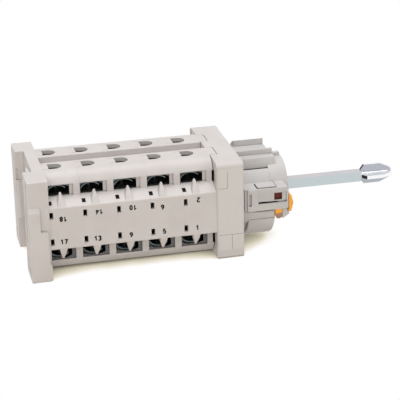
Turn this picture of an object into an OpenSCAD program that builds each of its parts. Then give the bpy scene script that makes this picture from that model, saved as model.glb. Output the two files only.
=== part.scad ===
// Rotary load-break switch disconnector lying on its side, shaft along +X.
// The origin is on the shaft axis, on the seat of the mounting rail.
// Upper terminals are at +Z, the row of numbered faces looks towards -Y.

/* [Contact stages] */
// Number of contact stages in the stack
stage_count = 5; // [1:1:5]
// Length of one stage along the shaft
stage_pitch = 19.5; // [19:0.1:21]
// Half width of a stage, from the axis to its numbered face
stage_half_w = 35.7; // [35:0.1:37]
// Half height of a stage, from the axis to its flat top
stage_half_h = 29.4; // [29:0.1:30]
// Depth of the groove between the two screw rows
groove_depth = 4.4; // [3:0.1:5]

/* [Rear base] */
// Width of the recess for the mounting rail
rail_w = 35.5; // [35.2:0.1:36]
// Depth of the recess for the mounting rail
rail_depth = 5.4; // [5:0.1:7]
// Thickness of the base web in front of the rail
base_web = 6.6; // [6:0.1:8]
// Radius of the panel screw holes
panel_hole_r = 2.2; // [1.7:0.1:2.4]

/* [Front] */
// Thickness of the plate in front of the stages
plate_t = 16; // [15:0.1:20]
// Outer radius of the latch drum
drum_r = 28.2; // [27:0.1:28.6]
// Length of the latch drum
drum_len = 21.5; // [18:0.5:22]
// Outer radius of the front ring
ring_r = 18; // [17.5:0.1:18.5]
// Reach of the front ring beyond the drum
ring_len = 10.8; // [10:0.1:12]

/* [Shaft] */
// Side of the square shaft
shaft_side = 6; // [5:0.5:6]
// Length of bare shaft in front of the ring
shaft_reach = 50.3; // [30:0.1:80]
// Length of the cross-shaped coupling tip
tip_len = 20.4; // [18:0.1:22]
// Half width of the tip's two crossed blades
tip_half_w = 6; // [5:0.1:7]

/* [Contacts] */
// Stroke of a contact carrier over a quarter turn
contact_stroke = 2.2; // [2:0.1:2.4]
// Running clearance of the cams in their bores
bearing_gap = 0.05; // [0.02:0.01:0.08]

/* [Hidden] */
$fn = 48;
eps = 0.1;

// Colours
plastic_grey = [0.85, 0.84, 0.82];
inner_grey = [0.55, 0.56, 0.58];
cam_white = [0.93, 0.92, 0.88];
zinc = [0.78, 0.82, 0.80];
bright_steel = [0.86, 0.87, 0.90];
dark_steel = [0.16, 0.17, 0.18];
brass = [0.80, 0.64, 0.30];
spring_steel = [0.62, 0.64, 0.68];
latch_orange = [0.96, 0.62, 0.20];

// Planes along the shaft
stack_x = base_web;
stack_end = stack_x + stage_count * stage_pitch;
plate_end = stack_end + plate_t;
drum_end = plate_end + drum_len;
ring_end = drum_end + ring_len;
shaft_end = ring_end + shaft_reach;

// Stage shell
groove_half_w = 5;
shoulder_y = 26.7;
shoulder_r = 8;
sill_z = 16.3;
face_z = 12.6;
wall = 2.4;
side_wall = 2;
chamber_depth = 16.9;
window_len = 15.6;
window_top = 23.1;
entry_len = 13.5;
entry_side_z = 21.5;
entry_top = 22.9;
tooth_x = 7.4;
tooth_tip_z = 20.2;
screw_x = 7.3;
screw_y = 12.1;
slot_r = 4.2;
tongue_len = 3.8;
tongue_gap = 0.2;
end_tongue_half_w = 6.2;
end_tongue_len = 4.7;
snap_len = 2.2;
snap_z = 8.1;
snap_half_z = 2;
rod_z = 20.5;
rod_r = 1.5;
guide_z = 5.7;
guide_t = 1.2;
bore_r = 9;

// Contact parts of one stage, measured from the stage's rear rim
contact_x = 7;
pad_z = 15.2;
pad_t = 1.5;
pad_outer_y = 23.4;
pad_inner_y = 8.4;
head_z = 23.8;
leg_y = 14.8;
leg_t = 1.4;
leg_low_z = 7.6;
tip_z = 9.6;
tip_r = 2;
tip_t = 0.8;
touch_gap = 0.05;
bridge_t = 1.2;
bridge_w = 5.8;
bridge_half_h = 12;
carrier_half_z = 5.5;
carrier_x0 = 3.2;
carrier_len = 7.6;
carrier_outer_y = 23.6;
nose_r = 1.5;
cam_r_max = 8.6;
cam_gap = 0.1;
cam_disc_x = 2.6;
cam_disc_len = 8.8;
spring_outer_y = 33.45;
spring_r = 2.6;
spring_wire = 0.6;

fixed_tip_y = leg_y + leg_t + tip_t;
bridge_tip_y = fixed_tip_y + touch_gap + contact_stroke;
bridge_y = bridge_tip_y + tip_t;
carrier_inner_y = cam_r_max + cam_gap;
lift_per_degree = contact_stroke / 90;

// Signs of the four quadrants of a cross-section
QUADRANTS = [[1, 1], [1, -1], [-1, -1], [-1, 1]];

function stage_x(index) = stack_x + (index - 1) * stage_pitch;

function unit(v) = v / norm(v);

// Outline with its corners [x, y, radius] rounded, n facets to a corner
function rounded(c, n = 5) = [
    for (i = [0 : len(c) - 1])
        let (
            p = [c[i][0], c[i][1]],
            before = c[(i + len(c) - 1) % len(c)],
            after = c[(i + 1) % len(c)],
            u = unit([before[0], before[1]] - p),
            v = unit([after[0], after[1]] - p),
            r = c[i][2],
            half = acos(max(-1, min(1, u * v))) / 2,
            centre = p + unit(u + v) * r / sin(half),
            start = p + u * r / tan(half) - centre,
            stop = p + v * r / tan(half) - centre,
            a0 = atan2(start[1], start[0]),
            sweep = (atan2(stop[1], stop[0]) - a0 + 540) % 360 - 180
        )
        each (r == 0 ? [p] : [for (k = [0 : n]) centre + r * [cos(a0 + sweep * k / n), sin(a0 + sweep * k / n)]])
];

function reversed(c) = [for (i = [len(c) - 1 : -1 : 0]) c[i]];

function flipped(c, s) = [for (p = c) [p[0] * s[0], p[1] * s[1], p[2]]];

// Full outline from the points of its first quadrant, listed from the Z axis outwards
function four_fold(q) = concat(q, reversed(flipped(q, [1, -1])), flipped(q, [-1, -1]), reversed(flipped(q, [-1, 1])));

stage_outline = rounded(four_fold([
    [groove_half_w, stage_half_h - groove_depth, 0],
    [groove_half_w, stage_half_h, 0.5],
    [shoulder_y, stage_half_h, shoulder_r],
    [shoulder_y, sill_z, 0],
    [stage_half_w, face_z, 0.9]
]), 6);

chamber_outline = rounded(four_fold([
    [groove_half_w + wall, stage_half_h - groove_depth - wall, 0],
    [groove_half_w + wall, stage_half_h - wall, 0],
    [shoulder_y - side_wall, stage_half_h - wall, shoulder_r - side_wall],
    [shoulder_y - side_wall, sill_z - 1.8, 0],
    [stage_half_w - 2.2, face_z - 1.7, 0]
]), 6);

module along_x(x, length) {
    translate([x, 0, 0]) rotate([90, 0, 90]) linear_extrude(length) children();
}

module along_y(y, length) {
    translate([0, y + length, 0]) rotate([90, 0, 0]) linear_extrude(length) children();
}

// Cylinder along +X from x
module rod_x(x, length, r) {
    translate([x, 0, 0]) rotate([0, 90, 0]) cylinder(h = length, r = r);
}

// Copies into the quadrants of the cross-section
module in_quadrants() {
    for (q = QUADRANTS) scale_signs(q) children();
}

module scale_signs(q) {
    mirror([0, q[0] < 0 ? 1 : 0, 0]) mirror([0, 0, q[1] < 0 ? 1 : 0]) children();
}

// Helical wire along +Z from the origin, its ends at 0 and length
module coil(r, wire, length, turns) {
    sides = 5;
    per_turn = 9;
    rings = turns * per_turn;
    lead = length - wire;
    points = [
        for (i = [0 : rings], j = [0 : sides - 1])
            let (a = i * 360 / per_turn, b = j * 360 / sides, rr = r + wire / 2 * cos(b))
            [rr * cos(a), rr * sin(a), wire / 2 + lead * i / rings + wire / 2 * sin(b)]
    ];
    skin = [
        for (i = [0 : rings - 1], j = [0 : sides - 1])
            let (k = (j + 1) % sides)
            each [
                [i * sides + j, (i + 1) * sides + j, (i + 1) * sides + k],
                [i * sides + j, (i + 1) * sides + k, i * sides + k]
            ]
    ];
    caps = [
        [for (j = [0 : sides - 1]) j],
        [for (j = [sides - 1 : -1 : 0]) rings * sides + j]
    ];
    polyhedron(points = points, faces = concat(skin, caps), convexity = 8);
}

// Slot for a screwdriver, open towards the rear and closed by the next piece's tongue
module driver_slot(x0) {
    translate([x0 - eps, screw_y - slot_r, stage_half_h - wall - 1])
        cube([screw_x - 0.2 + eps, 2 * slot_r, wall + 2]);
    translate([x0 + screw_x - 0.2, screw_y, stage_half_h - wall - 1])
        cylinder(r = slot_r, h = wall + 2);
}

module tongue(x0, half_w, length) {
    translate([x0, screw_y - half_w, stage_half_h - wall])
        cube([length, 2 * half_w, wall]);
}

// Wire window: a recess in the side wall with an arched opening, which leaves a jamb towards the front
module wire_window(x0) {
    half = entry_len / 2;
    translate([x0 - eps, shoulder_y - 1.4, sill_z])
        cube([window_len + eps, 5, window_top - sill_z]);
    along_y(shoulder_y - side_wall - 2, side_wall + 3)
        polygon([[x0 - eps, sill_z], [x0 - eps, entry_side_z], [x0 + half / 2, entry_top - 0.3], [x0 + half, entry_top],
                 [x0 + 1.5 * half, entry_top - 0.3], [x0 + entry_len, entry_side_z], [x0 + entry_len, sill_z]]);
}

// Pointed fin that stands on the slope below a wire window
module window_tooth(x0) {
    intersection() {
        along_x(x0, window_len)
            polygon([[stage_half_w - 0.15, face_z - 0.3], [shoulder_y + 4.4, tooth_tip_z],
                     [shoulder_y + 3.5, tooth_tip_z], [shoulder_y + 1.3, sill_z - 1.1],
                     [stage_half_w - 1.6, face_z - 0.6]]);
        along_y(shoulder_y, stage_half_w - shoulder_y + 1)
            polygon([[x0 + tooth_x - 2.3, face_z - 2], [x0 + tooth_x + 2.3, face_z - 2],
                     [x0 + tooth_x + 1.9, sill_z - 1.3], [x0 + tooth_x + 0.4, tooth_tip_z + eps],
                     [x0 + tooth_x - 0.4, tooth_tip_z + eps], [x0 + tooth_x - 1.9, sill_z - 1.3]]);
    }
}

module housing(index) {
    x0 = stage_x(index);
    last = index == stage_count;
    color(plastic_grey) {
        difference() {
            union() {
                along_x(x0, stage_pitch) polygon(stage_outline);
                in_quadrants()
                    tongue(x0 + stage_pitch - eps, last ? end_tongue_half_w - tongue_gap : slot_r - tongue_gap,
                           (last ? end_tongue_len : tongue_len) - tongue_gap + eps);
            }
            along_x(x0 - eps, chamber_depth + eps) polygon(chamber_outline);
            rod_x(x0 + chamber_depth - eps, stage_pitch, bore_r);
            for (s = [-1, 1]) translate([0, 0, s * rod_z]) rod_x(x0, stage_pitch + 1, rod_r + 0.2);
            in_quadrants() {
                driver_slot(x0);
                wire_window(x0);
                translate([x0 - eps, stage_half_w - 4, snap_z - snap_half_z])
                    cube([snap_len + eps, 5, 2 * snap_half_z]);
                translate([x0 - eps, shoulder_y + 3.2, face_z - 3.3])
                    cube([snap_len + eps, 3.2, 8]);
            }
        }
        in_quadrants() {
            window_tooth(x0);
            contact_ledge(x0);
        }
    }
}

// Guide wall of the contact carrier and ledge under the fixed contact, both standing on the web
module contact_ledge(x0) {
    translate([x0 + cam_disc_x, leg_y - 3.6, guide_z])
        cube([chamber_depth - cam_disc_x + eps, 3.4, guide_t]);
    translate([x0 + cam_disc_x, pad_outer_y - 5.4, pad_z - 2])
        cube([chamber_depth - cam_disc_x + eps, 5.4, 2]);
}

// Base with the rail recess, its fixed hook and the channel of the rail clip
near_block_y = 38.2;
base_far_y = 34.5;
base_top = 29.6;
base_bottom = 30.8;
foot_z = 22;
panel_y = 31.4;
panel_z = 25.6;
hook_reach = 1.5;
hook_half_z = 12;
hook_gap = 1.6;
clip_low = -13;
clip_high = 22.5;
clip_outer_y = 24.5;
clip_inner_y = 13.6;
clip_travel = 4;
clip_step = 3.5;
clip_spring_z = 5;
clip_spring_len = 8.6;

module rear_base() {
    color(plastic_grey) difference() {
        union() {
            along_x(-rail_depth, rail_depth + base_web)
                polygon(rounded([[base_far_y, base_top, 1], [base_far_y, -base_bottom, 2],
                                 [-stage_half_w - 0.5, -base_bottom, 2], [-stage_half_w - 0.5, base_top, 1]]));
            near_flange();
            in_quadrants() tongue(base_web - eps, slot_r - tongue_gap, tongue_len - tongue_gap + eps);
        }
        rail_recess();
        clip_channel();
        for (z = [[11.5, 8], [4, 1]])
            translate([-rail_depth - eps, rail_w / 2 - eps, z[0]]) cube([1.3 + eps, 2 + eps, z[1]]);
        for (q = QUADRANTS)
            translate([0, q[0] * panel_y, q[1] * panel_z])
                rod_x(-rail_depth - 1, rail_depth + base_web + 2, panel_hole_r);
        for (s = [-1, 1]) translate([0, 0, s * rod_z]) {
            rod_x(-1, base_web + 2, rod_r + 0.2);
            rotate([0, 90, 0]) translate([0, 0, -eps]) cylinder(h = 2.6 + eps, r = 3.3, $fn = 6);
        }
        rod_x(base_web - 2.4, 3, 5 + bearing_gap);
    }
}

// Recess for the rail, less the fixed hook of its far side and the small key on its floor
module rail_recess() {
    difference() {
        translate([-rail_depth - eps, -rail_w / 2, -base_bottom - 1])
            cube([rail_depth + eps, rail_w, 2 * base_bottom + 2]);
        translate([0, 0, -hook_half_z]) linear_extrude(2 * hook_half_z)
            polygon([[-rail_depth, rail_w / 2 + 1], [-rail_depth, rail_w / 2], [-rail_depth + 1.4, rail_w / 2 - hook_reach],
                     [-hook_gap, rail_w / 2 - hook_reach], [-hook_gap, rail_w / 2 + 1]]);
        translate([-2.1, -9.8, 14]) cube([2.2, 6, 12.7]);
    }
}

// Near flange: full depth below the axis, a rounded rib above it, a stepped foot at the bottom
module near_flange() {
    along_y(-near_block_y, 4)
        polygon(rounded([[-rail_depth, 11.5, 0], [-rail_depth, -base_bottom, 0], [base_web, -base_bottom, 1.5],
                         [base_web, -foot_z, 0], [base_web - 1.2, -foot_z + 2, 0], [base_web - 1.2, -0.5, 0],
                         [1.1, -0.5, 0], [1.1, 11.5, 0.8]]));
    intersection() {
        along_y(-near_block_y, 4) polygon([[-rail_depth, 11], [1.1, 11], [1.1, 14], [-rail_depth, 14]]);
        along_x(-rail_depth, rail_depth + base_web)
            polygon([[-near_block_y, 11], [-near_block_y, 11.5], [-stage_half_w - 0.4, 14], [-stage_half_w + 1, 14],
                     [-stage_half_w + 1, 11]]);
    }
}

// T-shaped channel of the clip and the blind hole of its spring
module clip_channel() {
    length = clip_outer_y + clip_travel + 0.1 - rail_w / 2 + 1;
    translate([-clip_step, -clip_outer_y - clip_travel - 0.1, clip_low - 0.1])
        cube([clip_step - hook_gap, length, clip_high - clip_low + 0.2]);
    translate([-rail_depth - eps, -clip_outer_y - clip_travel - 0.1, clip_low + 2.4])
        cube([rail_depth + eps - hook_gap, length, clip_high - clip_low - 4.8]);
    translate([-clip_step + 0.95, -clip_outer_y - clip_spring_len, clip_spring_z]) rotate([-90, 0, 0])
        cylinder(r = 1.6, h = 9);
}

module rail_clip() {
    bar_x = -clip_step + 0.1;
    bar_t = clip_step - hook_gap - 0.2;
    color(plastic_grey) difference() {
        union() {
            translate([bar_x, -clip_outer_y, clip_low])
                cube([bar_t, clip_outer_y - rail_w / 2 - 0.4, clip_high - clip_low]);
            translate([-rail_depth + 0.1, -clip_outer_y, clip_low + 2.5])
                cube([rail_depth - hook_gap - 0.2, clip_outer_y - rail_w / 2 - 0.4, clip_high - clip_low - 5]);
            for (z = [clip_low + 2.5, clip_high - 8.5])
                translate([0, 0, z]) linear_extrude(6)
                    polygon([[-rail_depth + 0.1, -clip_outer_y], [-rail_depth + 0.1, -rail_w / 2 - 0.4],
                             [bar_x, -clip_inner_y], [bar_x + bar_t, -clip_inner_y], [bar_x + bar_t, -clip_outer_y]]);
        }
        translate([-rail_depth - eps, -clip_outer_y + 1.6, 0]) cube([1.4, 1.6, 10]);
    }
}

module clip_spring() {
    color(spring_steel) translate([-clip_step + 0.95, -clip_outer_y, clip_spring_z]) rotate([90, 0, 0])
        coil(1.1, 0.5, clip_spring_len, 6);
}

// Plate in front of the stages with the marking face
module front_plate() {
    color(plastic_grey) difference() {
        along_x(stack_end, plate_t)
            polygon(rounded([[33, stage_half_h, 1], [33, -stage_half_h, 1.5],
                             [-stage_half_w - 0.3, -stage_half_h, 1.5], [-stage_half_w - 0.3, stage_half_h, 3]], 8));
        in_quadrants() {
            translate([stack_end - eps, screw_y - end_tongue_half_w, stage_half_h - wall - 0.05])
                cube([end_tongue_len + 0.15 + eps, 2 * end_tongue_half_w, wall + 1]);
            translate([stack_end - eps, 18.7, 12.2]) cube([0.35 + eps, 11.4, 20]);
            translate([stack_end - eps, 24.2, sill_z]) cube([0.7 + eps, 6, window_top - sill_z]);
            translate([stack_end - eps, -eps, 22]) cube([0.4 + eps, 5.5, 10]);
        }
        rod_x(stack_end - 1, plate_t + 2, bore_r);
        for (s = [-1, 1]) translate([0, 0, s * rod_z]) {
            rod_x(stack_end - 1, plate_t + 2, rod_r + 0.2);
            rod_x(plate_end - 3, 4, 3.1);
        }
    }
}

// Terraced latch drum; the cross-section repeats after half a turn
core_r = 18.3;
box_y = 28;
box_z0 = -5.2;
box_z1 = 8.2;
box_x0 = plate_end + 3;
box_x1 = box_x0 + 26.2;
ridge_x0 = plate_end + 5.6;
panel_z0 = -1;
panel_z1 = 5.5;
tread_z = 20.3;

function half_turn(c) = [for (p = c) [-p[0], -p[1], p[2]]];

terrace_half = [
    [-core_r * cos(26), core_r * sin(26), 0],
    for (a = [32 : 6 : 50]) [-core_r * cos(a), core_r * sin(a), 0],
    [-10.9, 14.7, 0],
    [-10.6, 13.9, 0],
    [-8.8, 13.9, 0],
    [-8.4, 15.5, 0],
    [-7.7, 19.2, 0],
    [-7.1, tread_z, 0],
    [-1, tread_z, 0],
    [-1, 23.4, 0.6],
    [8, 23.4, 0],
    [8, 24.5, 0],
    for (a = [66 : -6 : 36]) [(drum_r - 2.4) * cos(a), (drum_r - 2.4) * sin(a), 0],
    [25.2, 11.9, 0],
    [25.4, 7, 0]
];

drum_outline = rounded(concat(terrace_half, half_turn(terrace_half)), 4);

module latch_housing() {
    color(plastic_grey) difference() {
        union() {
            along_x(plate_end, drum_len) polygon(drum_outline);
            for (t = [0, 180]) rotate([t, 0, 0]) {
                intersection() {
                    difference() {
                        rod_x(ridge_x0, drum_end - ridge_x0 + (t == 0 ? 1.8 : 0), drum_r);
                        rod_x(ridge_x0 - 1, drum_len, drum_r - 4.6);
                    }
                    along_x(ridge_x0 - 0.5, drum_len) polygon([[8, 20], [8, 30], [27, 30], [27, 11.4], [19, 11.4]]);
                }
                terrace_steps();
                side_box(t == 0);
            }
        }
        rod_x(plate_end - 1, 5, 14.4);
        rod_x(plate_end + 3.9, 7.2, 15.6);
        rod_x(plate_end + 10, drum_len, 6.1);
        for (s = [-1, 1]) translate([plate_end + 4.4, -3, s > 0 ? 12 : -18.6]) cube([6.2, 6, 6.6]);
        latch_pocket();
    }
    color(plastic_grey) for (a = [104, 284]) stop_lug(a);
}

// Two terraces that reach beyond the drum, over the front ring
module terrace_steps() {
    difference() {
        along_x(plate_end + 2, drum_len) intersection() {
            polygon(drum_outline);
            polygon([[-1, 0], [-1, 23.4], [7.6, 23.4], [7.6, 0]]);
        }
        rod_x(drum_end - 1, 8, ring_r + 0.05);
    }
    difference() {
        along_x(plate_end + 5, drum_len) intersection() {
            polygon(drum_outline);
            polygon([[-9, 0], [-9, 26], [0.6, 26], [0.6, 0]]);
        }
        rod_x(drum_end - 1, 8, ring_r + 0.05);
    }
}

// Sector that limits the turn of the detent wheel's ears
module stop_lug(a0) {
    intersection() {
        difference() {
            rod_x(plate_end, 3.9, 14.5);
            rod_x(plate_end - 1, 6, 11.3);
        }
        along_x(plate_end, 4)
            polygon([[0, 0], for (a = [a0 : 15.5 : a0 + 62]) 20 * [cos(a), sin(a)]]);
    }
}

// Guide box on the side of the drum; the front one holds the latch
module side_box(open_front) {
    box_y0 = 13;
    difference() {
        along_y(-box_y, box_y - box_y0)
            polygon(rounded([[box_x0, box_z0, 0], [box_x1, box_z0, 0.8], [box_x1, box_z1, 0.8], [box_x0, box_z1, 0]]));
        rod_x(drum_end, ring_len + 5, ring_r + 0.05);
        translate([box_x0 - eps, -box_y - eps, box_z0 - eps]) cube([1.6, 1.2, box_z1 - box_z0 + 2 * eps]);
        translate([box_x0 + 2.3, -box_y - eps, panel_z0 - 1]) cube([1.5, 1.6, panel_z1 - panel_z0 + 1]);
        translate([box_x0 + 7.9, -box_y - eps, panel_z0]) cube([17.3, 0.9, panel_z1 - panel_z0]);
        translate([box_x0 + 7.9, -box_y - eps, panel_z0]) cube([17.3, 1.3, 0.9]);
        if (open_front) translate([box_x0 + 17.7, -box_y - eps, 0.5]) cube([4.8, 4, 4.4]);
        snap_grooves();
    }
    translate([box_x0 + 8.1, -box_y + 2, box_z1 - 0.8]) cube([11.2, 8, 1.3]);
}

// Grooves that set off the snap tab on top of a side box
module snap_grooves() {
    translate([box_x0 + 7.5, -box_y + 1.4, box_z1 - 0.8]) cube([12, 8.6, 2]);
    translate([box_x0 + 19.3, -box_y + 4, box_z1 - 0.45]) cube([0.6, 11, 2]);
}

latch_x0 = box_x0 + 18.7;
latch_w = 4.2;
latch_y = box_y - 1.7;
latch_t = 5.4;
latch_travel = 2.4;
latch_top = -0.8;
latch_low = -9.9;
neck_low = -3.4;
flag_x0 = box_x1 + 0.2;
latch_spring_z = -4.4;

// Pocket for the latch: open below, with a slot to the front for its neck
module latch_pocket() {
    low = latch_low - latch_w / 2 - 0.1;
    translate([latch_x0 - 0.1, -latch_y - 0.1, low])
        cube([latch_w + 0.2, latch_t + 0.2, box_z1 - 0.7 - low]);
    translate([latch_x0 + 2, -latch_y + 0.2, neck_low - 0.1])
        cube([box_x1 - latch_x0, latch_t - 0.4, latch_top - neck_low + latch_travel + 0.3]);
}

module release_latch() {
    mid_x = latch_x0 + latch_w / 2;
    color(latch_orange) difference() {
        union() {
            translate([latch_x0, -latch_y, latch_low]) cube([latch_w, latch_t, latch_top - latch_low]);
            translate([mid_x, -latch_y, latch_low]) rotate([-90, 0, 0]) cylinder(r = latch_w / 2, h = latch_t);
            translate([mid_x, -latch_y + 0.3, neck_low])
                cube([flag_x0 - mid_x + 0.6, latch_t - 0.6, latch_top - neck_low]);
            along_y(-box_y - 0.4, 8.8)
                polygon(rounded([[flag_x0, -7.2, 0.5], [flag_x0, 3.3, 0.5], [flag_x0 + 1.4, 3.3, 0.5],
                                 [flag_x0 + 2.8, -1.9, 3], [flag_x0 + 1.4, -7.2, 0.5]]));
        }
        translate([mid_x, -latch_y + latch_t / 2, latch_spring_z]) cylinder(r = 1.5, h = 10);
        rod_x(ring_end - 12, 12, ring_r + 0.6);
    }
}

module latch_spring() {
    color(spring_steel) translate([latch_x0 + latch_w / 2, -latch_y + latch_t / 2, latch_spring_z])
        coil(1.1, 0.4, box_z1 - 0.7 - latch_spring_z - 0.05, 7);
}

module front_ring() {
    color(plastic_grey) difference() {
        union() {
            rod_x(drum_end, ring_len, ring_r);
            translate([drum_end + 5.2, 0, ring_r - 1.5]) cube([4.8, 3, 3.7]);
        }
        rod_x(drum_end - 1, ring_len + 2, 6 + bearing_gap);
        rod_x(ring_end - 1.6, 2, 9);
    }
}

module tie_rods() {
    color(zinc) for (s = [-1, 1]) translate([0, 0, s * rod_z]) {
        rod_x(0.1, plate_end - 3 - 0.1, rod_r);
        rod_x(plate_end - 3, 2.6, 2.9);
    }
}

module tie_nuts() {
    color(zinc) for (s = [-1, 1]) translate([0, 0, s * rod_z]) rotate([0, 90, 0]) difference() {
        translate([0, 0, 0.2]) cylinder(h = 2.4, r = 3.15, $fn = 6);
        cylinder(h = 4, r = rod_r);
    }
}

module fixed_contact(x0) {
    difference() {
        union() {
            translate([x0 + cam_disc_x, pad_inner_y, pad_z]) cube([9.6, pad_outer_y - pad_inner_y, pad_t]);
            translate([x0 + contact_x - 3, leg_y, leg_low_z]) cube([6, leg_t, pad_z - leg_low_z + eps]);
            translate([x0 + contact_x, leg_y + leg_t - eps, tip_z]) rotate([-90, 0, 0])
                cylinder(r = tip_r, h = tip_t + eps);
        }
        translate([x0 + screw_x, screw_y, pad_z - 1]) cylinder(r = 1.8, h = 5);
    }
}

module fixed_contacts() {
    color(brass) for (i = [1 : stage_count]) in_quadrants() fixed_contact(stage_x(i));
}

// Clamp saddle that hangs under the head of its backed-out screw
module terminal_clamp(x0) {
    top = head_z - 0.02;
    difference() {
        along_y(pad_inner_y, 12)
            polygon(rounded([[x0 + 2.2, top - 2.1, 0], [x0 + 3.6, top - 2.1, 0], [x0 + 4.4, top - 1.3, 0.4],
                             [x0 + 10.4, top - 1.3, 0.4], [x0 + 11.2, top - 2.1, 0], [x0 + 12.6, top - 2.1, 0],
                             [x0 + 11.4, top, 0.8], [x0 + 3.4, top, 0.8]]));
        translate([x0 + screw_x, screw_y, top - 4]) cylinder(r = 1.8, h = 6);
    }
}

module terminal_clamps() {
    color(dark_steel) for (i = [1 : stage_count]) in_quadrants() terminal_clamp(stage_x(i));
}

module terminal_screw(x0) {
    translate([x0 + screw_x, screw_y, 0]) difference() {
        union() {
            translate([0, 0, 12.5]) cylinder(r = 1.75, h = head_z - 12.4);
            translate([0, 0, head_z]) cylinder(r = 3.3, h = 2.4);
        }
        translate([-4, -0.45, 25.1]) cube([8, 0.9, 2]);
    }
}

module terminal_screws() {
    color(dark_steel) for (i = [1 : stage_count]) in_quadrants() terminal_screw(stage_x(i));
}

// Black insert that lines the terminal chamber: wall along the groove, roof, end wall and floor
module terminal_insert(x0) {
    roof = [[7.45, 16.6], [7.45, 26.95], [18.6, 26.9], [22.7, 25], [24.5, 21], [24.5, 16.6]];
    inner = [[8.25, 16], [8.25, 26.15], [18.3, 26.15], [21.6, 24.6], [25.5, 22.6], [25.5, 16]];
    difference() {
        along_x(x0 + 0.1, chamber_depth - 0.15) polygon(roof);
        along_x(x0, chamber_depth - 0.85) polygon(inner);
        translate([x0 - 1, screw_y, head_z]) cylinder(r = 4.25, h = 8);
        translate([x0 - 1, screw_y - 4.25, head_z]) cube([screw_x + 1, 8.5, 8]);
        translate([x0 + screw_x, screw_y, head_z]) cylinder(r = 4.25, h = 8);
    }
    difference() {
        translate([x0 + 0.1, 8, pad_z + 0.2]) cube([chamber_depth - 0.15, 16.4, 1.25]);
        translate([x0 + 2.5, 7, pad_z]) cube([9.8, pad_outer_y - 6.9, 3]);
        translate([x0 - 1, 7, pad_z]) cube([3, 4, 3]);
    }
}

module terminal_inserts() {
    color(dark_steel) for (i = [1 : stage_count]) in_quadrants() terminal_insert(stage_x(i));
}

module shaft() {
    color(zinc) difference() {
        translate([stack_x + 0.4, -shaft_side / 2, -shaft_side / 2])
            cube([shaft_end - stack_x - 0.4, shaft_side, shaft_side]);
        translate([shaft_end - 12.7, -shaft_side / 2 - 0.9, 0]) sphere(r = 1.1);
    }
}

// Two crossed blades with a rounded nose on a thin core; the upright one stands off the axis
module coupling_tip() {
    blade_x = shaft_end + 0.6;
    blade = rounded([[blade_x, -3, 0], [blade_x, 3, 0], [blade_x + 2.3, tip_half_w, 0.4],
                     [shaft_end + 13, tip_half_w, 5], [shaft_end + tip_len, 2.6, 3],
                     [shaft_end + tip_len, -2.6, 3], [shaft_end + 13, -tip_half_w, 5],
                     [blade_x + 2.3, -tip_half_w, 0.4]]);
    color(bright_steel) {
        along_y(0.9, 2.1) polygon(blade);
        translate([0, 0, -1.05]) linear_extrude(2.1) polygon(blade);
        rod_x(shaft_end, tip_len - 3, 1.8);
    }
}

// Cam radius at angle a from the follower's line, in the cam's own turning sense
function cam_radius(a) =
    let (b = (a % 180 + 180) % 180)
    b <= 90 ? cam_r_max - b * lift_per_degree : cam_r_max - (180 - b) * lift_per_degree;

// One cam: a two-lobed disc and a journal that runs in the bore of the stage's web
module cam(index) {
    x0 = stage_x(index);
    first = index == 1;
    hole_x = first ? x0 + 0.4 : x0 - 1;
    color(cam_white) difference() {
        union() {
            along_x(x0 + cam_disc_x, cam_disc_len)
                polygon([for (a = [0 : 3.75 : 359]) cam_radius(a) * [cos(a), sin(a)]]);
            rod_x(x0 - (first ? 2.2 : 0), stage_pitch + (first ? 2.2 : 0), 5);
            rod_x(x0 + chamber_depth - 1.4, stage_pitch - chamber_depth + 1.4, bore_r - bearing_gap);
        }
        translate([hole_x, -shaft_side / 2, -shaft_side / 2]) cube([stage_pitch + 2, shaft_side, shaft_side]);
    }
}

// Detent wheel with four shallow valleys, two stop ears and a long hub for the front ring
module detent_wheel() {
    wheel_x = plate_end + 4.4;
    ear = [for (a = [-12 : 6 : 12]) [cos(a), sin(a)]];
    color(cam_white) difference() {
        union() {
            along_x(wheel_x, 6)
                polygon([for (a = [0 : 5 : 355]) (10.2 - 0.5 * cos(4 * a)) * [cos(a), sin(a)]]);
            rod_x(stack_end, plate_end - stack_end, bore_r - bearing_gap);
            rod_x(plate_end, 4.5, 10.6);
            for (t = [0, 180]) rotate([t, 0, 0])
                along_x(plate_end + 0.4, 3.2) polygon([for (p = ear) 8 * p, for (p = reversed(ear)) 13.9 * p]);
            rod_x(wheel_x, ring_end - wheel_x - 1.6, 6);
            rod_x(ring_end - 2, 2.2, 5.4);
        }
        translate([stack_end - 1, -shaft_side / 2, -shaft_side / 2])
            cube([ring_end - stack_end + 3, shaft_side, shaft_side]);
    }
}

module detent_rollers() {
    color(spring_steel) for (s = [-1, 1]) translate([0, 0, s * 13]) rod_x(plate_end + 4.6, 5.8, 2.15);
}

module detent_springs() {
    color(spring_steel) for (s = [0, 180]) rotate([s, 0, 0]) translate([plate_end + 7.5, 0, 15.2])
        coil(2, 0.6, 3.35, 2);
}

module circlip() {
    color(dark_steel) difference() {
        rod_x(ring_end - 1.5, 1, 8);
        rod_x(ring_end - 2, 2, 5.4);
        translate([ring_end - 2, -2, -10]) cube([3, 4, 8]);
    }
}

module at_side(front) {
    mirror([0, front ? 1 : 0, 0]) children();
}

module carrier(index, front) {
    x0 = stage_x(index);
    nose_y = carrier_inner_y + nose_r;
    color(inner_grey) at_side(front) difference() {
        union() {
            translate([x0 + carrier_x0, nose_y, 0]) rod_x(0, carrier_len, nose_r);
            translate([x0 + carrier_x0, nose_y, -nose_r]) cube([carrier_len, 3, 2 * nose_r]);
            translate([x0 + carrier_x0, nose_y + 1.5, -carrier_half_z])
                cube([carrier_len, carrier_outer_y - nose_y - 1.5, 2 * carrier_half_z]);
        }
        translate([x0 + contact_x - bridge_w / 2, bridge_y - touch_gap, -carrier_half_z - 1])
            cube([bridge_w, bridge_t + touch_gap, 2 * carrier_half_z + 2]);
    }
}

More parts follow.
